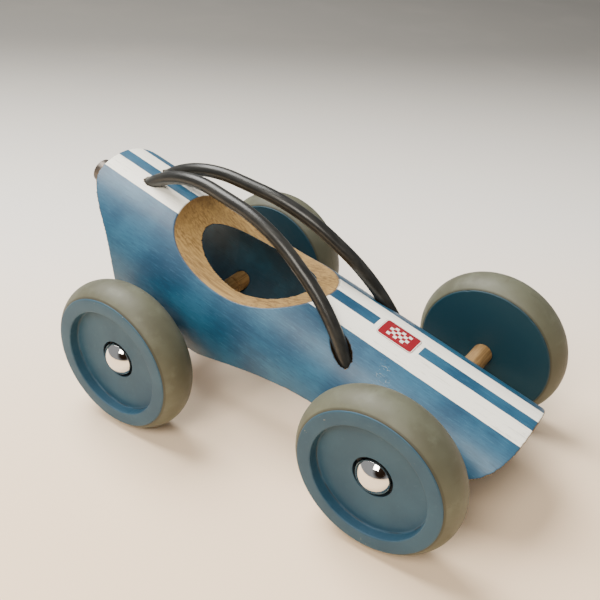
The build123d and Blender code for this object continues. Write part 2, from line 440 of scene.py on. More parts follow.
@dataclass(frozen=True)
class CulmPaint(Finish):
    """Blue lacquer with two white stripes on bamboo, bare where it was sawn, dark blue inside."""

    name: str = "culm_paint"
    blue: Colour = srgb(42, 90, 116)
    deep_blue: Colour = srgb(22, 62, 88)
    fibre_dark: Colour = srgb(16, 48, 70)
    fibre_pale: Colour = srgb(80, 130, 156)
    inside: Colour = srgb(0, 38, 54)
    inside_dust: Colour = srgb(10, 58, 76)
    white: Colour = srgb(250, 246, 232)
    worn_white: Colour = srgb(214, 212, 198)
    straw: Colour = srgb(160, 128, 74)
    straw_dark: Colour = srgb(114, 86, 47)
    fleck: Colour = srgb(96, 64, 34)
    hole_dirt: Colour = srgb(20, 17, 15)
    edge_line: Colour = srgb(74, 56, 40)
    edge_band: float = 0.45*MM
    edge_soft: float = 0.12*MM
    edge_wander: float = 0.3*MM
    stripe_soft: float = 0.10*MM
    stripe_wander: float = 0.35*MM
    scuff_spot: tuple[float, float] = (98*MM, -24*MM)
    scuff_ring: tuple[float, float] = (7*MM, 13*MM)
    hole_spot: tuple[float, float] = (84.5*MM, 21.5*MM)
    hole_reach: tuple[float, float] = (9*MM, 8*MM)
    label_centre: float = 98.8*MM
    label_patch: float = 11.3*MM
    bare_rough: float = 0.62

    def bare(self, g: Graph) -> tuple[bpy.types.NodeSocket, bpy.types.NodeSocket]:
        """Bare bamboo: drawn-out fibres that show as flecks where they are cut across.

        Args:
            g: The graph.

        Returns:
            Its colour and its height.
        """
        streak = g.noise(900, 3, 0.6, CULM.fibres(g, 0.035))
        broad = g.noise(160, 2, 0.5, CULM.fibres(g, 0.12))
        bundles = g.step(g.cells(780, CULM.fibres(g, 0.03)), 0.30, 0.12)
        end_grain = g.step(g.size(g.dot(g.facing(), CULM.ahead)), 0.45, 0.85)
        tone = g.mix(g.step(streak, 0.35, 0.7), self.straw, self.straw_dark)
        tone = g.mix(g.times(g.step(broad, 0.35, 0.7), 0.45), tone, self.straw)
        tone = g.mix(g.times(end_grain, 0.62), tone, self.straw_dark)
        tone = g.mix(g.times(bundles, g.scaled(end_grain, 0.55, 0.16)), tone, self.fleck)
        cracks = g.noise(120, 4, 0.7, CULM.fibres(g, 0.05), warp=0.4)
        hairline = g.band(cracks, 0.497, 0.503, 0.004)
        tone = g.mix(g.times(hairline, 0.7), tone, self.fleck)
        return tone, g.less(streak, g.times(hairline, 0.8))

    def lacquer(self, g: Graph, fibre: bpy.types.NodeSocket) -> bpy.types.NodeSocket:
        """The blue, cloudy and drawn with the culm's fibres.

        Args:
            g: The graph.
            fibre: The broad fibre noise.

        Returns:
            Its colour.
        """
        blue = g.mix(g.step(g.noise(38, 3, 0.5), 0.32, 0.68), self.blue, self.deep_blue)
        blue = g.mix(g.times(g.step(fibre, 0.42, 0.75), 0.30), blue, self.blue)
        blue = g.mix(g.times(g.step(fibre, 0.5, 0.2), 0.35), blue, self.deep_blue)
        hair = g.noise(1700, 4, 0.75, CULM.fibres(g, 0.11))
        blue = g.mix(g.times(g.step(hair, 0.53, 0.66), 0.44), blue, self.fibre_dark)
        return g.mix(g.times(g.step(hair, 0.46, 0.34), 0.18), blue, self.fibre_pale)

    def stripes(self, g: Graph, along: bpy.types.NodeSocket,
                arc: bpy.types.NodeSocket) -> bpy.types.NodeSocket:
        """The two stripes, and the white patch under the label that joins them.

        Args:
            g: The graph.
            along: Distance along the culm.
            arc: Distance round the culm from its crown.

        Returns:
            Their mask.
        """
        wander = g.times(g.less(g.noise(90, 2), 0.5), self.stripe_wander)
        edge = g.plus(g.size(arc), wander)
        stripe = g.band(edge, CULM.stripe_inner, CULM.stripe_outer, self.stripe_soft)
        beside = g.size(g.less(along, self.label_centre))
        patch = g.step(beside, self.label_patch+self.stripe_soft, self.label_patch-self.stripe_soft)
        patch = g.times(patch, g.step(edge, CULM.stripe_outer, CULM.stripe_inner))
        return g.math("MAXIMUM", stripe, patch)

    def scuff(self, g: Graph, along: bpy.types.NodeSocket, arc: bpy.types.NodeSocket) -> bpy.types.NodeSocket:
        """Faint rubbed arcs on the hood's flank, ahead of the rod's hole.

        Args:
            g: The graph.
            along: Distance along the culm.
            arc: Distance round the culm from its crown.

        Returns:
            Their mask.
        """
        ahead = g.less(along, self.scuff_spot[0])
        reach = g.reach(ahead, g.less(arc, self.scuff_spot[1]))
        ring = g.band(g.plus(reach, g.times(g.noise(260, 3), 5*MM)), *self.scuff_ring, 2*MM)
        arcs = g.step(g.noise(900, 4, 0.7, CULM.fibres(g, 0.5), warp=1.2), 0.57, 0.66)
        return g.times(g.times(ring, arcs), g.step(ahead, -1*MM, 5*MM))

    def coat(self, g: Graph) -> tuple[bpy.types.NodeSocket, ...]:
        """The painted skin: blue, two stripes, fibres showing through, and wear.

        Args:
            g: The graph.

        Returns:
            Its colour, its roughness and its height.
        """
        along = CULM.along(g)
        arc = CULM.arc(g)
        fibre = g.noise(420, 4, 0.6, CULM.fibres(g, 0.05))
        grain = g.step(g.noise(900, 5, 0.75, CULM.fibres(g, 0.09)), 0.54, 0.66)
        white = g.mix(g.times(grain, 0.8), self.white, self.worn_white)
        chips = g.step(g.noise(520, 5, 0.72, CULM.fibres(g, 0.4)), 0.705, 0.73)
        stripe = g.times(self.stripes(g, along, arc), g.less(1.0, g.times(chips, 0.9)))
        colour = g.mix(stripe, self.lacquer(g, fibre), white)
        scuff = self.scuff(g, along, arc)
        colour = g.mix(g.times(scuff, 0.22), colour, self.worn_white)
        specks = g.step(g.noise(640, 4, 0.75), 0.735, 0.75)
        colour = g.mix(g.times(specks, 0.8), colour, self.straw)
        rough = g.scaled(g.noise(210, 4, 0.6), 0.22, 0.34)
        rough = g.plus(rough, g.times(scuff, 0.25))
        relief = g.plus(g.times(fibre, 0.6), g.times(stripe, 0.5))
        return colour, rough, g.less(relief, g.times(chips, 0.4))

    def in_hole(self, g: Graph) -> bpy.types.NodeSocket:
        """Mask of the rods' holes in the flanks, where the sawn wood is darkened as painted shade.

        Args:
            g: The graph.

        Returns:
            The mask, the same on both sides.
        """
        along = g.less(CULM.along(g), self.hole_spot[0])
        beside = g.less(g.size(CULM.arc(g)), self.hole_spot[1])
        return g.step(g.reach(along, beside), *self.hole_reach)

    def build(self) -> bpy.types.Material:
        """Make the material: the coat on the skin, bare wood where it is sawn, dark paint in the bore.

        Returns:
            The material.
        """
        g = Graph(self.name)
        rise, offset = CULM.rise(g), g.parts(g.coords)[1]
        radius = g.reach(rise, offset)
        level = g.plus(radius, g.times(g.less(g.noise(500, 3), 0.5), self.edge_wander))
        inner_edge = CULM.radius-self.edge_band
        skin = g.step(level, inner_edge-self.edge_soft, inner_edge+self.edge_soft)
        lining = g.step(g.less(level, CULM.bore_radius(g)), self.edge_band+self.edge_soft,
                        self.edge_band-self.edge_soft)
        normal = g.facing()
        outward = g.scaled(g.dot(normal, CULM.up), rise, g.times(g.parts(normal)[1], offset))
        outward = g.math("DIVIDE", outward, radius)
        skin = g.times(skin, g.step(outward, 0.70, 0.86))
        coat, coat_rough, coat_relief = self.coat(g)
        bare, bare_relief = self.bare(g)
        # Painted shade: the sawn walls of the rods' holes are darkened nearly to black.
        bare = g.mix(g.times(self.in_hole(g), 0.88), bare, self.hole_dirt)
        near_skin = g.step(level, CULM.radius-0.9*MM, CULM.radius-0.5*MM)
        line = g.times(g.band(outward, 0.80, 0.93, 0.05), near_skin)
        colour = g.mix(g.times(line, 0.6), g.mix(skin, bare, coat), self.edge_line)
        dusty = g.mix(g.step(g.noise(60, 4, 0.6), 0.4, 0.8), self.inside, self.inside_dust)
        colour = g.mix(lining, colour, dusty)
        rough = g.scaled(skin, g.less(coat_rough, self.bare_rough), self.bare_rough)
        relief = g.scaled(skin, g.less(coat_relief, bare_relief), bare_relief)
        g.surface(Base_Color=colour, Roughness=rough, Normal=g.bump(relief, 0.12*MM, 0.7),
                  Coat_Weight=g.times(skin, 0.14), Coat_Roughness=0.25, Specular_IOR_Level=0.36)
        return g.material


@dataclass(frozen=True)
class TurnedWood(Finish):
    """Bare sanded hardwood with its grain along Y, as on dowels."""

    name: str = "turned_wood"
    light: Colour = srgb(146, 115, 70)
    dark: Colour = srgb(106, 78, 43)
    pore: Colour = srgb(104, 72, 40)

    def build(self) -> bpy.types.Material:
        """Make the material.

        Returns:
            The material.
        """
        g = Graph(self.name)
        drawn = g.stretch(g.coords, (1, 0.06, 1))
        grain = g.noise(900, 4, 0.6, drawn)
        pores = g.step(g.cells(1500, g.stretch(g.coords, (1, 0.09, 1))), 0.22, 0.08)
        tone = g.mix(g.step(grain, 0.3, 0.72), self.light, self.dark)
        tone = g.mix(g.times(pores, 0.4), tone, self.pore)
        g.surface(Base_Color=tone, Roughness=0.62, Normal=g.bump(grain, 0.06*MM, 0.5))
        return g.material


@dataclass(frozen=True)
class GunMetal(Finish):
    """Semi-gloss gun-metal lacquer on the bent rods, rubbed along their length."""

    name: str = "gun_metal"
    dark: Colour = srgb(34, 34, 32)
    light: Colour = srgb(55, 54, 50)
    nick: Colour = srgb(120, 114, 104)

    def build(self) -> bpy.types.Material:
        """Make the material.

        Returns:
            The material.
        """
        g = Graph(self.name)
        streaks = g.noise(420, 4, 0.6, g.stretch(g.coords, (0.12, 1, 0.4)))
        mottle = g.noise(900, 5, 0.65)
        tone = g.mix(g.step(streaks, 0.35, 0.75), self.dark, self.light)
        nicks = g.step(g.noise(800, 5, 0.75, g.stretch(g.coords, (0.35, 1, 0.6))), 0.70, 0.73)
        tone = g.mix(g.times(nicks, 0.6), tone, self.nick)
        rough = g.scaled(mottle, 0.16, 0.24)
        g.surface(Base_Color=tone, Metallic=0.3, Roughness=rough, Normal=g.bump(mottle, 0.02*MM, 0.5))
        return g.material


@dataclass(frozen=True)
class PipePaint(Finish):
    """Satin grey-brown metallic on the tail pipe, mottled darker in places."""

    name: str = "pipe_satin"
    tone: Colour = srgb(98, 88, 78)
    dark: Colour = srgb(48, 42, 38)

    def build(self) -> bpy.types.Material:
        """Make the material.

        Returns:
            The material.
        """
        g = Graph(self.name)
        mottle = g.noise(300, 4, 0.6)
        tone = g.mix(g.step(mottle, 0.3, 0.7), self.tone, self.dark)
        g.surface(Base_Color=tone, Metallic=0.5, Roughness=g.scaled(mottle, 0.2, 0.3),
                  Normal=g.bump(g.noise(900, 4), 0.05*MM, 0.5))
        return g.material


@dataclass(frozen=True)
class TyreRubber(Finish):
    """Aged grey-olive rubber: slightly cloudy, scuffed on the tread, with a fine crack or two, and a painted
    shade band where it meets the disc.
    """

    name: str = "aged_rubber"
    shift: tuple[float, float, float] = (0.0, 0.0, 0.0)
    outward: int = -1
    tone: Colour = srgb(92, 93, 76)
    dull: Colour = srgb(78, 77, 61)
    pale: Colour = srgb(106, 109, 91)
    dirt: Colour = srgb(78, 72, 56)
    seam: Colour = srgb(58, 56, 42)
    crack: Colour = srgb(52, 46, 34)
    speck: Colour = srgb(190, 196, 186)
    edge: float = 32.3*MM
    crack_lane: float = -1.2*MM

    def build(self) -> bpy.types.Material:
        """Make the material.

        Returns:
            The material.
        """
        g = Graph(self.name, self.shift)
        cloud = g.noise(45, 3, 0.55)
        fine = g.noise(420, 5, 0.65)
        tone = g.mix(g.step(cloud, 0.3, 0.72), self.tone, self.dull)
        tone = g.mix(g.times(g.step(g.noise(110, 4, 0.6), 0.5, 0.75), 0.5), tone, self.pale)
        dirt = g.step(g.noise(240, 5, 0.7, g.stretch(g.grain, (1, 0.5, 1))), 0.60, 0.72)
        tone = g.mix(g.times(dirt, 0.45), tone, self.dirt)
        x, y, z = g.parts(g.coords)
        radius = g.reach(x, z)
        # Painted shade: a dark band on the rubber next to the disc's rim.
        seam = g.step(radius, self.edge+0.25*MM, self.edge-0.25*MM)
        tone = g.mix(g.times(seam, 0.75), tone, self.seam)
        wander = g.times(g.less(g.noise(48, 3), 0.5), 9*MM)
        lane = g.less(g.plus(g.times(y, self.outward), wander), self.crack_lane)
        crack = g.band(g.size(lane), -0.2*MM, 0.09*MM, 0.06*MM)
        crack = g.times(crack, g.step(g.noise(34, 2, 0.4), 0.54, 0.60))
        tone = g.mix(g.times(crack, 0.8), tone, self.crack)
        specks = g.step(g.cells(330), 0.07, 0.045)
        specks = g.times(specks, g.step(g.noise(60, 2), 0.58, 0.68))
        tone = g.mix(g.times(specks, 0.7), tone, self.speck)
        relief = g.less(g.times(fine, 0.5), g.times(crack, 1.0))
        g.surface(Base_Color=tone, Roughness=g.scaled(fine, 0.25, 0.42), Specular_IOR_Level=0.4,
                  Subsurface_Weight=0.12, Subsurface_Radius=(1.0, 0.9, 0.6), Subsurface_Scale=1.5*MM,
                  Normal=g.bump(relief, 0.12*MM, 0.5))
        return g.material


@dataclass(frozen=True)
class DiscPaint(Finish):
    """Matt blue-grey paint on the turned wheels, rubbed pale on the rim, with painted shade in the hub
    pocket, in the crevice by the tyre and on the inner face.
    """

    name: str = "disc_paint"
    shift: tuple[float, float, float] = (0.0, 0.0, 0.0)
    outward: int = -1
    face: Colour = srgb(38, 75, 95)
    shade: Colour = srgb(33, 67, 87)
    worn: Colour = srgb(68, 100, 115)
    inner: Colour = srgb(14, 52, 64)
    bare: Colour = srgb(190, 178, 140)
    # Painted shade: near-black for the deep hub pocket.
    pocket: Colour = srgb(14, 18, 28)
    crevice: Colour = srgb(22, 30, 34)
    corner: Colour = srgb(20, 32, 38)
    nick: Colour = srgb(26, 36, 42)
    pocket_radius: float = 8.86*MM
    pocket_top: float = 4.6*MM
    rim: float = 31.6*MM
    dish: float = 25.2*MM
    dish_floor: float = 4.8*MM

    def build(self) -> bpy.types.Material:
        """Make the material. Its coordinates are the wheel's own, with Y along the axle.

        Returns:
            The material.
        """
        g = Graph(self.name, self.shift)
        x, y, z = g.parts(g.coords)
        radius = g.reach(x, z)
        out = g.times(y, self.outward)
        cloud = g.noise(60, 4, 0.6)
        tone = g.mix(g.step(cloud, 0.3, 0.7), self.face, self.shade)
        tone = g.mix(g.times(g.step(g.noise(500, 4, 0.7), 0.55, 0.8), 0.35), tone, self.worn)
        rub = g.step(g.plus(radius, g.times(g.noise(150, 4), 1.0*MM)), self.rim-0.1*MM, self.rim+0.5*MM)
        tone = g.mix(g.times(rub, 0.35), tone, self.worn)
        far_out = g.size(y)
        # Painted shade: a dark line on the rim's side, in the crevice where the disc meets the tyre.
        crevice = g.step(radius, self.rim-0.25*MM, self.rim-0.1*MM)
        crevice = g.times(crevice, g.step(far_out, 9.25*MM, 9.05*MM))
        tone = g.mix(g.times(crevice, 0.85), tone, self.crevice)
        corner = g.band(radius, self.dish-0.45*MM, self.dish-0.05*MM, 0.16*MM)
        corner = g.times(corner, g.band(out, self.dish_floor-0.3*MM, self.dish_floor+0.5*MM, 0.2*MM))
        corner = g.times(corner, g.step(g.noise(95, 4, 0.6), 0.38, 0.56))
        tone = g.mix(g.times(corner, 0.85), tone, self.corner)
        chips = g.times(g.step(g.noise(230, 4, 0.7), 0.70, 0.715), g.step(radius, 27*MM, 29*MM))
        tone = g.mix(chips, tone, self.bare)
        nicks = g.times(g.step(g.noise(420, 5, 0.75), 0.685, 0.70), g.band(radius, 24*MM, 26.5*MM, 0.6*MM))
        tone = g.mix(g.times(nicks, 0.8), tone, self.nick)
        # Painted shade: the inner face, turned towards the body, is darkened.
        tone = g.mix(g.step(out, -6.0*MM, -8.0*MM), tone, self.inner)
        # Painted shade: the hub pocket's walls are made near-black.
        pocket_shade = g.times(g.step(radius, self.pocket_radius+0.15*MM, self.pocket_radius-0.15*MM),
                       g.band(out, 0.0, self.pocket_top, 0.15*MM))
        tone = g.mix(pocket_shade, tone, self.pocket)
        grain = g.noise(600, 4, 0.6, g.stretch(g.grain, (1, 1, 0.25)))
        relief = g.less(grain, g.times(chips, 1.5))
        g.surface(Base_Color=tone, Roughness=g.scaled(cloud, 0.15, 0.48), Specular_IOR_Level=0.4,
                  Normal=g.bump(relief, 0.06*MM, 0.5))
        return g.material


@dataclass(frozen=True)
class CapChrome(Finish):
    """Mirror chrome on the hub caps, with faint pits and fine scratches."""

    name: str = "bright_chrome"
    plate: Colour = srgb(232, 230, 226)
    pit: Colour = srgb(126, 112, 96)

    def build(self) -> bpy.types.Material:
        """Make the material.

        Returns:
            The material.
        """
        g = Graph(self.name)
        pits = g.step(g.noise(700, 4, 0.75), 0.62, 0.72)
        scratches = g.noise(1500, 3, 0.7, g.stretch(g.coords, (0.15, 1, 1)))
        tone = g.mix(g.times(pits, 0.6), self.plate, self.pit)
        g.surface(Base_Color=tone, Metallic=1.0, Roughness=g.scaled(pits, 0.3, 0.07),
                  Normal=g.bump(scratches, 0.01*MM, 0.4))
        return g.material


@dataclass(frozen=True)
class DrawnSteel(Finish):
    """Bright drawn steel on the axles."""

    name: str = "drawn_steel"
    dull: Colour = srgb(150, 150, 150)
    bright: Colour = srgb(196, 196, 198)

    def build(self) -> bpy.types.Material:
        """Make the material.

        Returns:
            The material.
        """
        g = Graph(self.name)
        lines = g.noise(1500, 3, 0.6, g.stretch(g.coords, (1, 0.03, 1)))
        tone = g.mix(lines, self.dull, self.bright)
        g.surface(Base_Color=tone, Metallic=1.0, Roughness=g.scaled(lines, 0.15, 0.22),
                  Normal=g.bump(lines, 0.02*MM, 0.5))
        return g.material


@dataclass(frozen=True)
class LabelFilm(Finish):
    """Printed film: a red field with a cream border line and a small chequered flag."""

    name: str = "film_print"
    red: Colour = srgb(132, 12, 26)
    faded: Colour = srgb(176, 64, 70)
    cream: Colour = srgb(232, 224, 214)
    outline: Colour = srgb(120, 84, 82)
    centre: float = 98.8*MM
    half_length: float = 9.0*MM
    half_width: float = 5.8*MM
    border: float = 0.55*MM
    corner: float = 1.6*MM
    square: float = 1.7*MM
    flag: tuple[int, int] = (6, 4)

    def build(self) -> bpy.types.Material:
        """Make the material.

        Returns:
            The material.
        """
        g = Graph(self.name)
        u = g.less(CULM.along(g), self.centre)
        v = CULM.arc(g)
        side = g.size(u)
        rise = g.size(v)
        over = g.math("MAXIMUM", g.less(side, self.half_length-self.corner), 0.0)
        above = g.math("MAXIMUM", g.less(rise, self.half_width-self.corner), 0.0)
        reach = g.reach(over, above)
        inner_edge = self.corner-self.border
        edge = g.step(reach, inner_edge-0.06*MM, inner_edge+0.06*MM)
        columns = g.math("FLOOR", g.math("DIVIDE", u, self.square))
        rows = g.math("FLOOR", g.math("DIVIDE", v, self.square))
        odd = g.math("FLOORED_MODULO", g.plus(columns, rows), 2.0)
        half_long, half_high = (count/2*self.square for count in self.flag)
        inside = g.times(g.step(side, half_long+0.05*MM, half_long-0.05*MM),
                         g.step(rise, half_high+0.05*MM, half_high-0.05*MM))
        fade = g.step(g.noise(420, 4, 0.7), 0.62, 0.78)
        red = g.mix(g.times(fade, 0.35), self.red, self.faded)
        tone = g.mix(g.times(odd, inside), red, self.cream)
        tone = g.mix(edge, tone, self.cream)
        line = g.band(reach, self.corner-0.20*MM, self.corner+0.1*MM, 0.05*MM)
        tone = g.mix(g.times(line, 0.8), tone, self.outline)
        g.surface(Base_Color=tone, Roughness=g.scaled(g.noise(300, 4), 0.2, 0.28),
                  Normal=g.bump(g.noise(500, 3), 0.02*MM, 0.4))
        return g.material


@dataclass(frozen=True)
class FloorPaper(Finish):
    """The pale paper that the car stands on."""

    name: str = "floor_paper"
    cool: Colour = srgb(242, 236, 226)
    warm: Colour = srgb(255, 226, 190)
    far: Colour = srgb(118, 115, 109)
    stain: Colour = srgb(208, 196, 182)
    front: tuple[float, float, float] = (0.616, -0.786, 0)

    def build(self) -> bpy.types.Material:
        """Make the material. It warms towards the front of the sweep, and darkens towards the back as painted
        shade.

        Returns:
            The material.
        """
        g = Graph(self.name)
        nearness = g.dot(g.coords, self.front)
        tone = g.mix(g.step(nearness, -0.22, 0.12), self.cool, self.warm)
        # Painted shade: the paper darkens towards the back, away from the lamps.
        tone = g.mix(g.step(nearness, -0.04, -0.68), tone, self.far)
        tone = g.mix(g.times(g.step(g.noise(9, 4, 0.6), 0.45, 0.75), 0.03), tone, self.stain)
        g.surface(Base_Color=tone, Roughness=0.7, Specular_IOR_Level=0.25,
                  Normal=g.bump(g.noise(260, 3), 0.1*MM, 0.2))
        return g.material


def body_of(node: str) -> str:
    """Give the body that a CAD node belongs to in the record."""
    bodies = frame["record"]["behaviour"]["bodies"]
    return next(name for name, nodes in bodies.items() if node in nodes)


def centre_of(node: str) -> Vector:
    """Give the middle of a CAD node's box."""
    low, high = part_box(node)
    return (low+high)/2


def stand_in(obj: bpy.types.Object, node: str, finish: Finish) -> bpy.types.Object:
    """Dress a new piece, and let it stand for a CAD node on that node's body.

    Args:
        obj: The piece, already in place.
        node: The CAD node that it stands for.
        finish: Its finish.

    Returns:
        The piece.
    """
    finish.dress(obj)
    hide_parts(node)
    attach(obj, body_of(node))
    log.info("%s: %d faces in %s", obj.name, len(obj.data.polygons), finish.name)
    return obj


def repaint(node: str, finish: Finish) -> None:
    """Give a CAD node that keeps its shape a new finish.

    Args:
        node: The CAD node.
        finish: Its new finish.
    """
    obj = frame["nodes"][node]
    for index in range(len(obj.material_slots)):
        obj.material_slots[index].material = finish.material()
    log.info("%s: kept, in %s", node, finish.name)


def make_object(name: str, points: Sequence[Sequence[float]], faces: Sequence[Sequence[int]],
                crease: float = 35.0) -> bpy.types.Object:
    """Make a mesh object with smooth faces and sharp creases.

    Args:
        name: The object's name.
        points: Its points.
        faces: Its faces, as rows of point numbers.
        crease: Edges with a larger angle than this, in degrees, stay sharp.

    Returns:
        The object, in the scene.
    """
    mesh = bpy.data.meshes.new(name)
    mesh.from_pydata([tuple(point) for point in points], [], [tuple(face) for face in faces])
    mesh.validate()
    shell = bmesh.new()
    shell.from_mesh(mesh)
    bmesh.ops.remove_doubles(shell, verts=shell.verts, dist=1e-7)
    bmesh.ops.recalc_face_normals(shell, faces=shell.faces)
    shell.to_mesh(mesh)
    shell.free()
    mesh.shade_smooth()
    mesh.set_sharp_from_angle(angle=radians(crease))
    obj = bpy.data.objects.new(name, mesh)
    bpy.context.scene.collection.objects.link(obj)
    return obj


def rounded(corners: Sequence[tuple[float, float, float]], steps: int = 5) -> list[Point]:
    """Round the corners of a closed outline.

    Args:
        corners: Each corner's two places and the radius of its round.
        steps: Runs along each round.

    Returns:
        The outline's points.
    """
    outline: list[Point] = []
    count = len(corners)
    for index, (first, second, radius) in enumerate(corners):
        here = Vector((first, second))
        before = Vector(corners[index-1][:2])-here
        after = Vector(corners[(index+1) % count][:2])-here
        half = before.angle(after)/2
        if radius <= 0 or half > 1.55:
            outline.append((first, second))
            continue
        reach = min(radius/tan(half), 0.49*before.length, 0.49*after.length)
        start = here+before.normalized()*reach
        end = here+after.normalized()*reach
        radius = reach*tan(half)
        middle = here+(before.normalized()+after.normalized()).normalized()*(radius/sin(half))
        sweep = (start-middle).angle(end-middle)
        for step in range(steps+1):
            share = step/steps
            spoke = ((start-middle)*sin((1-share)*sweep)+(end-middle)*sin(share*sweep))/sin(sweep)
            outline.append(tuple(middle+spoke))
    return outline


def lathe(name: str, outline: Sequence[Point], segments: int, crease: float = 35.0,
          shape: Callable[[float, float, float], float] | None = None, outward: int = -1) -> bpy.types.Object:
    """Turn a closed outline about the local Y axis.

    Args:
        name: The object's name.
        outline: Radius and distance outwards of each point.
        segments: Steps round the axis.
        crease: Sharp edge angle in degrees.
        shape: Gives a small change of radius for an angle, a radius and a distance outwards.
        outward: The sign of Y that is outwards.

    Returns:
        The turned piece.
    """
    points = []
    for step in range(segments):
        angle = 2*pi*step/segments
        for radius, out in outline:
            grown = radius+(shape(angle, radius, out) if shape else 0.0)
            points.append((grown*cos(angle), outward*out, grown*sin(angle)))
    size = len(outline)
    faces = []
    for step in range(segments):
        here, there = step*size, (step+1) % segments*size
        for index in range(size):
            after = (index+1) % size
            faces.append((here+index, here+after, there+after, there+index))
    return make_object(name, points, faces, crease)


@dataclass(frozen=True)
class Shell:
    """The bamboo body: sawn edges eased, skin and bore true, fibres and small splinters raised."""

    node: str = "body_shell"
    finish: Finish = CulmPaint()
    grid: float = 0.5*MM
    ease_rounds: int = 4
    skin_catch: float = 0.22*MM
    splinter: float = 0.14*MM
    furrow: float = 0.03*MM

    def eased(self) -> bpy.types.Object:
        """Copy the CAD shell, join its faces and rebuild it on a fine even grid.

        Returns:
            The rebuilt shell.
        """
        mesh = frame["nodes"][self.node].data.copy()
        whole = bmesh.new()
        whole.from_mesh(mesh)
        bmesh.ops.remove_doubles(whole, verts=whole.verts, dist=1e-6)
        whole.to_mesh(mesh)
        whole.free()
        rough = bpy.data.objects.new("shell_rough", mesh)
        bpy.context.scene.collection.objects.link(rough)
        remesh = rough.modifiers.new("grid", "REMESH")
        remesh.mode = "VOXEL"
        remesh.voxel_size = self.grid
        ease = rough.modifiers.new("ease", "SMOOTH")
        ease.factor = 0.5
        ease.iterations = self.ease_rounds
        guide = bpy.data.objects.new("shell_guide", mesh.copy())
        bpy.context.scene.collection.objects.link(guide)
        cling = rough.modifiers.new("cling", "SHRINKWRAP")
        cling.target = guide
        cling.wrap_method = "NEAREST_SURFACEPOINT"
        soften = rough.modifiers.new("soften", "SMOOTH")
        soften.factor = 0.5
        soften.iterations = 1
        settled = rough.evaluated_get(bpy.context.evaluated_depsgraph_get())
        final = bpy.data.meshes.new_from_object(settled)
        bpy.data.objects.remove(rough)
        bpy.data.objects.remove(guide)
        obj = bpy.data.objects.new("bamboo_shell", final)
        bpy.context.scene.collection.objects.link(obj)
        return obj

    def true_up(self, mesh: bpy.types.Mesh) -> None:
        """Lay the skin and the bore back on their true radii, and raise the wood's texture.

        Args:
            mesh: The shell, changed in place.
        """
        count = len(mesh.vertices)
        place = np.empty(count*3, np.float64)
        mesh.vertices.foreach_get("co", place)
        place = place.reshape(-1, 3)
        normal = np.empty(count*3, np.float64)
        mesh.vertices.foreach_get("normal", normal)
        normal = normal.reshape(-1, 3)
        ahead, up, origin = (np.array(v) for v in (CULM.ahead, CULM.up, CULM.origin))
        rise = (place-origin)@up
        radius = np.hypot(rise, place[:, 1])
        spoke = (up*rise[:, None]+np.array((0, 1, 0))*place[:, 1:2])/radius[:, None]
        facing = np.abs((normal*spoke).sum(1))
        along = (place-origin)@ahead
        for target in (np.full(count, CULM.radius), CULM.bore_radii(along)):
            near = (np.abs(radius-target) < self.skin_catch) & (facing > 0.9)
            place[near] += spoke[near]*(target-radius)[near][:, None]
        arc = np.arctan2(place[:, 1], rise)*CULM.radius
        sawn = np.flatnonzero(facing < 0.9)
        for index in sawn:
            spot = Vector((along[index]*90, arc[index]*420, radius[index]*420))
            chip = max(0.0, noise.noise(spot*1.6)-0.22)
            grain = noise.noise(Vector((along[index]*220, arc[index]*1500, radius[index]*1500)))
            depth = self.splinter*chip*(1-facing[index])*2+self.furrow*(0.5+0.5*grain)
            place[index] -= normal[index]*depth
        mesh.vertices.foreach_set("co", place.reshape(-1))
        mesh.update()

    def build(self) -> None:
        """Make the shell and let it stand for the CAD one."""
        obj = self.eased()
        self.true_up(obj.data)
        obj.data.shade_smooth()
        stand_in(obj, self.node, self.finish)


@dataclass(frozen=True)
class Label:
    """The printed film on the crown of the hood."""

    node: str = "hood_label"
    finish: LabelFilm = LabelFilm()
    thickness: float = 0.2*MM
    edge_round: float = 0.08*MM
    corner: float = 1.6*MM
    columns: int = 44
    rows: int = 28

    def build(self) -> None:
        """Make the curved film, its corners rounded and its edge turned down to the skin."""
        film = self.finish
        points, faces = [], []
        for column in range(self.columns+1):
            share = 0.5-0.5*cos(pi*column/self.columns)
            along = film.half_length*(2*share-1)
            over = max(0.0, abs(along)-(film.half_length-self.corner))
            width = film.half_width-self.corner+sqrt(max(self.corner**2-over**2, 0.0))
            for row in range(self.rows+1):
                across = width*(2*row/self.rows-1)
                rim = column in (0, self.columns) or row in (0, self.rows)
                height = self.thickness-(self.edge_round if rim else 0.0)
                points.append(CULM.at(film.centre+along, across, CULM.radius+height))
        size = self.rows+1
        top = len(points)
        for column in range(self.columns):
            for row in range(self.rows):
                here = column*size+row
                faces.append((here, here+size, here+size+1, here+1))
        ring = [column*size for column in range(self.columns+1)]
        ring += [self.columns*size+row for row in range(1, size)]
        ring += [column*size+self.rows for column in range(self.columns-1, -1, -1)]
        ring += [row for row in range(self.rows-1, 0, -1)]
        for index in ring:
            spoke = points[index]-CULM.origin
            spoke -= CULM.ahead*spoke.dot(CULM.ahead)
            points.append(points[index]-spoke.normalized()*(spoke.length-CULM.radius))
        count = len(ring)
        for index, corner in enumerate(ring):
            after = (index+1) % count
            faces.append((corner, ring[after], top+after, top+index))
        faces.append(tuple(range(top, top+count)))
        stand_in(make_object("hood_label_film", points, faces), self.node, film)


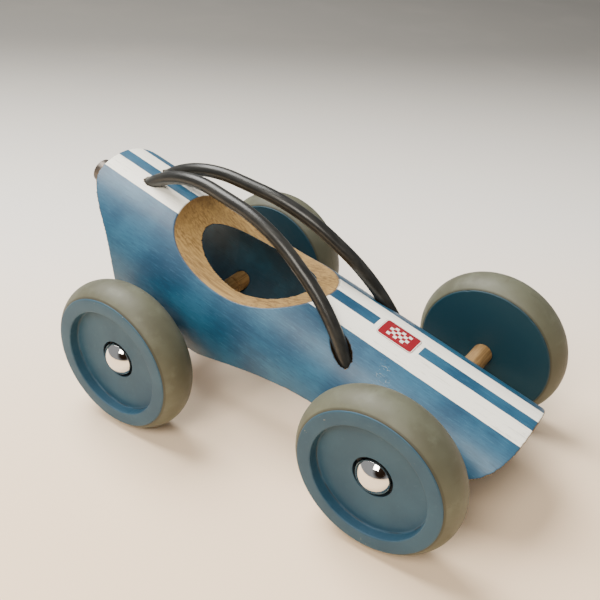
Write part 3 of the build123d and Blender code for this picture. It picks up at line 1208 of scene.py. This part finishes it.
@dataclass(frozen=True)
class TailPipe:
    """The painted pipe: a rounded lip, a blind bore with a drill point, and a wooden block behind."""

    node: str = "tail_pipe"
    block_node: str = "tail_pipe_block"
    radius: float = 6.0*MM
    bore: float = 3.7*MM
    bore_depth: float = 9.0*MM
    length: float = 36.0*MM
    lip: float = 0.8*MM
    segments: int = 96

    def build(self) -> None:
        """Make the pipe."""
        half = self.length/2
        outline = rounded([(0.02*MM, -half, 0), (self.radius, -half, self.lip), (self.radius, half, self.lip),
                           (self.bore, half, 0.35*MM), (self.bore, half-self.bore_depth, 0.3*MM),
                           (0.02*MM, half-self.bore_depth-1.2*MM, 0)])
        pipe = lathe("tail_pipe_tube", outline, self.segments)
        rear = -CULM.ahead
        turn = Vector((0, -1, 0)).rotation_difference(rear).to_matrix().to_4x4()
        pipe.data.transform(Matrix.Translation(centre_of(self.node))@turn)
        stand_in(pipe, self.node, PipePaint())
        repaint(self.block_node, TurnedWood())


@dataclass(frozen=True)
class Wheel:
    """One wheel: a dished disc, its rubber tyre and the chrome cap on the axle's end."""

    place: Place
    side: Side
    turn: float
    rim: float = 31.6*MM
    half: float = 9.5*MM
    dish: float = 25.2*MM
    dish_floor: float = 4.8*MM
    cove: float = 0.9*MM
    pocket: float = 8.8*MM
    pocket_floor: float = 1.6*MM
    bore: float = 2.08*MM
    groove: float = 28.4*MM
    groove_half: float = 6.3*MM
    crown: float = 36.0*MM
    shoulder: float = 31.85*MM
    tread_half: float = 9.0*MM
    cap_radius: float = 7.7*MM
    cap_height: float = 7.0*MM
    cap_skirt: float = 2.9*MM
    cap_crown: float = 1.1*MM
    segments: int = 224

    @property
    def label(self) -> str:
        """The wheel's place and side, as in node names."""
        return f"{self.place.value}_{self.side.word}"

    @property
    def shift(self) -> tuple[float, float, float]:
        """How far this wheel's noises are moved, so that no two wheels are alike."""
        return self.turn*0.31, self.turn*0.17, self.turn*0.23

    def set(self, obj: bpy.types.Object, node: str, finish: Finish) -> None:
        """Put a turned piece at its node's middle, and let it stand for the node.

        Args:
            obj: The turned piece.
            node: The CAD node.
            finish: Its finish.
        """
        obj.location = centre_of(node)
        bpy.context.view_layer.update()
        stand_in(obj, node, finish)

    def lump(self, angle: float, radius: float, out: float) -> float:
        """Small hand-made unevenness of the rubber, always inwards.

        Args:
            angle: Angle round the axle, in radians.
            radius: Distance from the axle; not used.
            out: Distance out along the axle.

        Returns:
            How far the surface moves.
        """
        spot = Vector((cos(angle)*1.7, sin(angle)*1.7, out*140+self.turn*5))
        fine = Vector((cos(angle)*9, sin(angle)*9, out*500+self.turn*9))
        return -(0.10*(0.5+0.5*noise.noise(spot))+0.035*(0.5+0.5*noise.noise(fine)))*MM

    def dent(self, angle: float, radius: float, out: float) -> float:
        """Knocks and small chips on the disc's rim, always inwards.

        Args:
            angle: Angle round the axle, in radians.
            radius: Distance from the axle.
            out: Distance out along the axle.

        Returns:
            How far the surface moves.
        """
        if radius < self.dish-1*MM:
            return 0.0
        spot = Vector((cos(angle)*16, sin(angle)*16, out*160+self.turn*7))
        return -max(0.0, noise.noise(spot)-0.33)*0.7*MM-0.02*MM*(0.5+0.5*noise.noise(spot*2.3))

    def tyre(self) -> None:
        """Make the tyre: barrel tread, soft shoulders and the root that fills the groove."""
        rise = self.crown-self.shoulder
        barrel = (rise**2+self.tread_half**2)/(2*rise)
        sweep = asin(self.tread_half/barrel)
        arc = []
        for step in range(1, 20):
            angle = sweep*(2*step/20-1)
            arc.append((self.crown-barrel+barrel*cos(angle), barrel*sin(angle), 0))
        corners = [(self.shoulder, -self.tread_half, 0.35*MM)]+arc
        corners += [(self.shoulder, self.tread_half, 0.35*MM), (self.rim, self.tread_half, 0),
                    (self.rim, self.groove_half, 0), (self.groove, self.groove_half, 0),
                    (self.groove, -self.groove_half, 0), (self.rim, -self.groove_half, 0),
                    (self.rim, -self.tread_half, 0)]
        node = f"tyre_{self.label}"
        finish = TyreRubber(f"aged_rubber_{self.label}", self.shift, self.side.value)
        self.set(lathe(f"{node}_rubber", rounded(corners, 3), self.segments, 50, self.lump, self.side.value),
                 node, finish)

    def disc(self) -> None:
        """Make the disc: rounded rim, dished face with a cove, hub pocket, bore and groove."""
        corners = [(self.bore, -self.half, 0.2*MM), (self.rim, -self.half, 0.7*MM),
                   (self.rim, -self.groove_half, 0.1*MM), (self.groove, -self.groove_half, 0),
                   (self.groove, self.groove_half, 0), (self.rim, self.groove_half, 0.1*MM),
                   (self.rim, self.half, 0.7*MM), (self.dish, self.half, 0.6*MM),
                   (self.dish, self.dish_floor, self.cove), (self.pocket, self.dish_floor, 0.3*MM),
                   (self.pocket, self.pocket_floor, 0.2*MM), (self.bore, self.pocket_floor, 0.1*MM)]
        node = f"wheel_disc_{self.label}"
        finish = DiscPaint(f"disc_paint_{self.label}", self.shift, self.side.value)
        self.set(lathe(f"{node}_wood", rounded(corners, 7), self.segments, 40, self.dent, self.side.value),
                 node, finish)

    def cap(self) -> None:
        """Make the cap: short skirt with a turned-in edge and a full dome."""
        dome = self.cap_height-self.cap_skirt
        ball = (self.cap_radius**2+dome**2)/(2*dome)
        sweep = asin(self.cap_radius/ball)
        low = -self.cap_height/2
        shaft = 2.0*MM
        socket = low+self.cap_height-self.cap_crown
        outline = [(shaft, socket), (shaft, low), (self.cap_radius-0.25*MM, low),
                   (self.cap_radius-0.06*MM, low+0.08*MM), (self.cap_radius, low+0.3*MM)]
        low_dome = low+self.cap_height-ball
        for step in range(25):
            angle = sweep*(1-step/24)
            outline.append((ball*sin(angle), low_dome+ball*cos(angle)))
        outline.append((0.0, socket))
        node = f"hub_cap_{self.label}"
        self.set(lathe(f"{node}_dome", outline, 96, 60, outward=self.side.value), node, CapChrome())

    def build(self) -> None:
        """Make the wheel's three pieces."""
        self.disc()
        self.tyre()
        self.cap()


@dataclass(frozen=True)
class Axles:
    """The two steel axles and the four wooden sleeves round them."""

    def build(self) -> None:
        """Give the kept CAD pieces their finishes."""
        for place in Place:
            repaint(f"axle_{place.value}", DrawnSteel())
            for side in Side:
                repaint(f"axle_sleeve_{place.value}_{side.word}", TurnedWood())


@dataclass(frozen=True)
class Rods:
    """The two bent rods over the cockpit: straight runs joined by three long bends."""

    finish: Finish = GunMetal()
    radius: float = 3.1*MM
    deck_seat: tuple[float, float] = (-30.8*MM, 6.0*MM)
    flank_seat: tuple[float, float] = (89.0*MM, 20.2*MM)
    seat_depth: float = 1.5*MM
    lean: float = radians(8.0)
    entry: float = radians(50.5)
    leave: float = radians(39.4)
    tail_depth: float = 10.3*MM
    nose_depth: float = 9.7*MM
    bends: tuple[tuple[float, float, float], ...] = ((0.115, 0.1403, 0.444), (0.554, 0.2006, 0.690),
                                                     (0.882, 0.0975, 0.698))
    end_round: float = 0.35*MM
    end_float: float = 0.05*MM
    unevenness: float = 0.006
    ring_points: int = 48
    ring_gap: float = 1.0*MM

    def seat(self, side: Side, spot: tuple[float, float]) -> Vector:
        """Give the point where a rod's centre line meets the body, a little under the skin.

        Args:
            side: Which rod.
            spot: Where on the body.

        Returns:
            The point.
        """
        ahead, offset = spot
        height = CULM.skin_height(ahead, offset)-self.seat_depth
        return Vector((CULM.rear_axle+ahead, side.value*offset, height))

    def flat_path(self, span: float) -> list[Vector]:
        """Lay the centre line out in the rod's own plane.

        Args:
            span: Distance between the rod's two seats.

        Returns:
            Points along it, about a ring gap apart.
        """
        corners = [Vector((-cos(self.entry), -sin(self.entry)))*self.tail_depth]
        corners += [Vector((share, height))*span for share, height, _ in self.bends]
        corners += [Vector((span+cos(self.leave)*self.nose_depth, -sin(self.leave)*self.nose_depth))]
        corners[0] *= 1-self.end_float/self.tail_depth
        points = [corners[0]]
        for index, (_, _, size) in enumerate(self.bends, start=1):
            bend = size*span
            before = (corners[index]-corners[index-1]).normalized()
            after = (corners[index+1]-corners[index]).normalized()
            turn = before.angle_signed(after)
            tangent = corners[index]-before*(bend*tan(abs(turn)/2))
            hand = 1.0 if turn > 0 else -1.0
            middle = tangent+Vector((before.y, -before.x))*(hand*bend)
            points += self.run(points[-1], tangent)
            steps = max(6, int(abs(turn)*bend/self.ring_gap))
            spoke = tangent-middle
            for step in range(1, steps+1):
                angle = -turn*step/steps
                points.append(middle+Vector((spoke.x*cos(angle)-spoke.y*sin(angle),
                                             spoke.x*sin(angle)+spoke.y*cos(angle))))
        return points+self.run(points[-1], corners[-1])

    def run(self, start: Vector, end: Vector) -> list[Vector]:
        """Give even steps along a straight run, without its start."""
        steps = max(2, int((end-start).length/self.ring_gap))
        return [start.lerp(end, step/steps) for step in range(1, steps+1)]

    def rod(self, side: Side) -> None:
        """Sweep one rod along its centre line.

        Args:
            side: The side it is on.
        """
        deck, flank = self.seat(side, self.deck_seat), self.seat(side, self.flank_seat)
        along = (flank-deck).normalized()
        upright = (Vector((0, 0, 1))-along*along.z).normalized()
        middle_side = Vector((0, -side.value, 0))
        inward = (middle_side-along*middle_side.dot(along)-upright*middle_side.dot(upright)).normalized()
        rise = upright*cos(self.lean)+inward*sin(self.lean)
        square = along.cross(rise)
        path = [deck+along*spot.x+rise*spot.y for spot in self.flat_path((flank-deck).length)]
        rings = [(path[0], path[1]-path[0], self.radius-self.end_round)]
        rings += [(spot, path[min(i+1, len(path)-1)]-path[max(i-1, 0)], self.radius)
                  for i, spot in enumerate(path)]
        first = (path[1]-path[0]).normalized()*self.end_round
        last = (path[-1]-path[-2]).normalized()*self.end_round
        rings[1] = (path[0]+first, path[1]-path[0], self.radius)
        rings[-1] = (path[-1]-last, path[-1]-path[-2], self.radius)
        rings.append((path[-1], path[-1]-path[-2], self.radius-self.end_round))
        points: list[Vector] = []
        for spot, way, radius in rings:
            over = square.cross(way).normalized()
            for k in range(self.ring_points):
                angle = 2*pi*k/self.ring_points
                spoke = over*cos(angle)+square*sin(angle)
                lump = 0.5+0.5*noise.noise((spot+spoke*radius)*180)
                points.append(spot+spoke*(radius*(1-self.unevenness*lump)))
        count = self.ring_points
        faces: list[tuple[int, ...]] = []
        for row in range(len(rings)-1):
            for k in range(count):
                after = (k+1) % count
                faces.append((row*count+k, row*count+after, (row+1)*count+after, (row+1)*count+k))
        faces.append(tuple(reversed(range(count))))
        faces.append(tuple(range((len(rings)-1)*count, len(rings)*count)))
        stand_in(make_object(f"bent_rod_{side.word}", points, faces), f"rod_{side.word}", self.finish)

    def build(self) -> None:
        """Make both rods."""
        for side in Side:
            self.rod(side)


@dataclass(frozen=True)
class Studio:
    """Pale floor, soft lights and the camera."""

    floor_half: float = 3.0
    azimuth: float = 33.40
    elevation: float = 32.27
    roll: float = -2.91
    lens: float = 48.17
    camera_at: tuple[float, float, float] = (0.17522, -0.25795, 0.25186)
    key_power: float = 33.0
    fill_power: float = 13.0
    sky: float = 0.38
    room: Colour = srgb(70, 52, 40)

    def floor(self) -> None:
        """Lay the floor, with the stage's own pale paper."""
        reach = self.floor_half
        plane = make_object("studio_floor", [(-reach, -reach, 0), (reach, -reach, 0), (reach, reach, 0),
                                             (-reach, reach, 0)], [(0, 1, 2, 3)])
        FloorPaper().dress(plane)

    def lamp(self, name: str, at: Vector, aim: Vector, size: float, power: float, colour: Colour) -> None:
        """Hang a square soft light.

        Args:
            name: Its name.
            at: Where it hangs.
            aim: What it faces.
            size: Its side.
            power: Its power in watts.
            colour: Its colour.
        """
        light = bpy.data.lights.new(name, "AREA")
        light.shape = "SQUARE"
        light.size = size
        light.energy = power
        light.color = colour
        obj = bpy.data.objects.new(name, light)
        obj.location = at
        obj.rotation_euler = (aim-at).to_track_quat("-Z", "Y").to_euler()
        bpy.context.scene.collection.objects.link(obj)

    def lights(self) -> None:
        """Hang the key light, high on the left and a little behind, the fill, and an even sky."""
        centre = Vector((0, 0, 0.04))
        self.lamp("key_light", Vector((-0.62, 0.02, 1.05)), centre, 0.8, self.key_power, (1.0, 0.985, 0.96))
        self.lamp("fill_light", Vector((0.16, -0.82, 0.92)), centre, 0.5, self.fill_power, (1.0, 0.94, 0.85))
        world = bpy.data.worlds.new("studio_sky")
        world.use_nodes = True
        tree = world.node_tree
        back = tree.nodes["Background"]
        back.inputs["Strength"].default_value = self.sky
        way = tree.nodes.new("ShaderNodeVectorMath")
        way.operation = "DOT_PRODUCT"
        way.inputs[1].default_value = (0.50, -0.72, 0.48)
        tree.links.new(tree.nodes.new("ShaderNodeTexCoord").outputs["Generated"], way.inputs[0])
        ramp = tree.nodes.new("ShaderNodeValToRGB")
        ramp.color_ramp.elements[0].position = 0.78
        ramp.color_ramp.elements[0].color = (0.95, 0.97, 1.0, 1.0)
        ramp.color_ramp.elements[1].position = 0.93
        ramp.color_ramp.elements[1].color = (*self.room, 1.0)
        tree.links.new(way.outputs["Value"], ramp.inputs[0])
        tree.links.new(ramp.outputs[0], back.inputs["Color"])
        bpy.context.scene.world = world

    def camera(self) -> None:
        """Set the camera."""
        data = bpy.data.cameras.new("studio_camera")
        data.sensor_width = 36.0
        data.lens = self.lens
        data.clip_start = 0.01
        obj = bpy.data.objects.new("studio_camera", data)
        turn, lift, roll = (radians(v) for v in (self.azimuth, self.elevation, self.roll))
        back = Vector((sin(turn)*cos(lift), -cos(turn)*cos(lift), sin(lift)))
        right = (-back).cross(Vector((0, 0, 1))).normalized()
        down = (-back).cross(right)
        across = right*cos(roll)+down*sin(roll)
        below = down*cos(roll)-right*sin(roll)
        axes = Matrix((across, -below, back)).transposed().to_4x4()
        obj.matrix_world = Matrix.Translation(Vector(self.camera_at))@axes
        bpy.context.scene.collection.objects.link(obj)
        bpy.context.scene.camera = obj

    def build(self) -> None:
        """Set up the floor, the lights and the camera."""
        self.floor()
        self.lights()
        self.camera()


def main() -> None:
    """Build the car and the studio."""
    logging.basicConfig(level=logging.INFO, format="%(message)s")
    Studio().build()
    Shell().build()
    Label().build()
    TailPipe().build()
    Rods().build()
    Axles().build()
    turns = {(Place.FRONT, Side.LEFT): 0.0, (Place.FRONT, Side.RIGHT): 1.3,
             (Place.REAR, Side.LEFT): 2.5, (Place.REAR, Side.RIGHT): 4.4}
    for (place, side), turn in turns.items():
        Wheel(place, side, turn).build()


if __name__ == "__main__":
    main()
